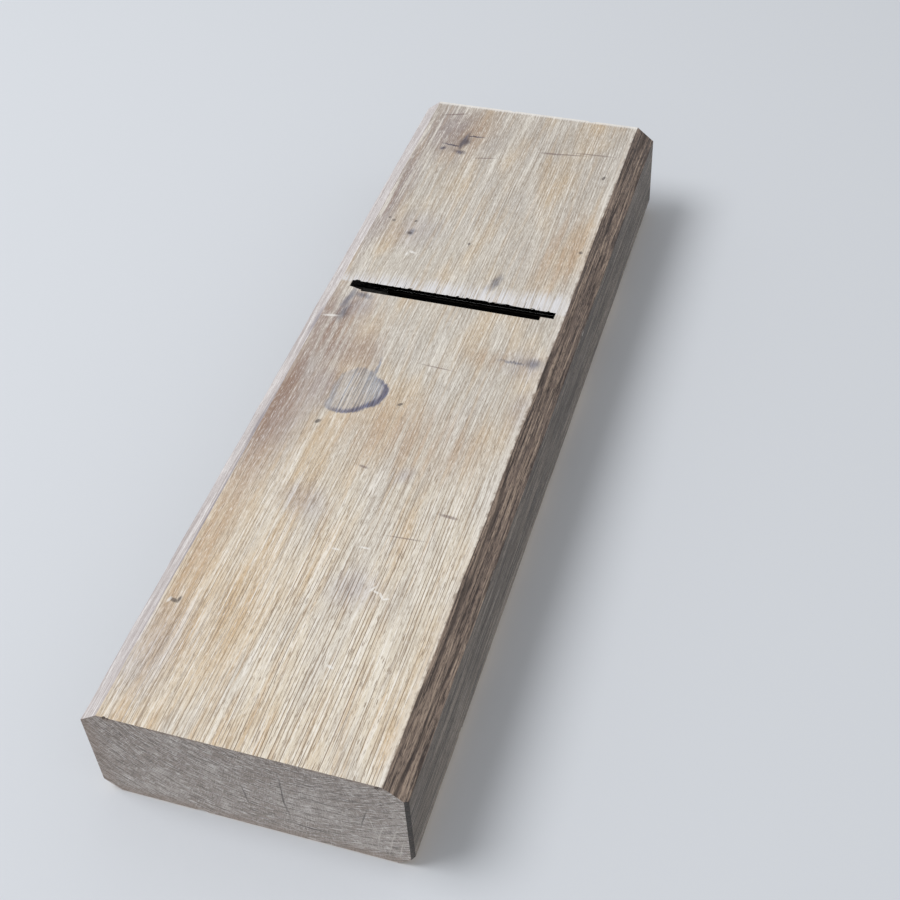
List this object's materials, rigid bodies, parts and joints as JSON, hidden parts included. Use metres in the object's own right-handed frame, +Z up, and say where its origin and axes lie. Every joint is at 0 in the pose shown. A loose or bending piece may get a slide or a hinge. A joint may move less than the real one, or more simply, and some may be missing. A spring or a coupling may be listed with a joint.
{
  "type": "japanese hand plane",
  "caption": "Low oak plane block with a sloped bed and throat, a wedge iron in side grooves, a chip breaker on it and a steel cross pin.",
  "frame": {"origin": "centre of the sole, on the surface that the plane stands on", "axes": "+X to the right seen from the front end, +Y along the block towards the struck end, which the iron leans to, +Z up from the sole to the upper face"},
  "size_m": [0.082, 0.27, 0.0742],
  "materials": {
    "oak": "bare aged oak, planed, worn and greyed",
    "pin_steel": "drawn rod, dulled",
    "soft_iron": "forged, dark scale",
    "hard_steel": "ground bright"
  },
  "bodies": {
    "block": {"block": "oak", "cross_pin": "pin_steel"},
    "iron": {"iron_body": "soft_iron", "iron_steel": "hard_steel"},
    "breaker": {"breaker_body": "soft_iron", "breaker_steel": "hard_steel"}
  },
  "joints": [
    {"name": "iron_slide", "type": "slide", "parent": "block", "child": "iron", "axis": [0, 0.7809, 0.6247], "range_m": [-0.02, 0.025]},
    {"name": "breaker_slide", "type": "slide", "parent": "iron", "child": "breaker", "axis": [0, 0.7424, 0.6699], "range_m": [-0.004, 0.03]}
  ]
}
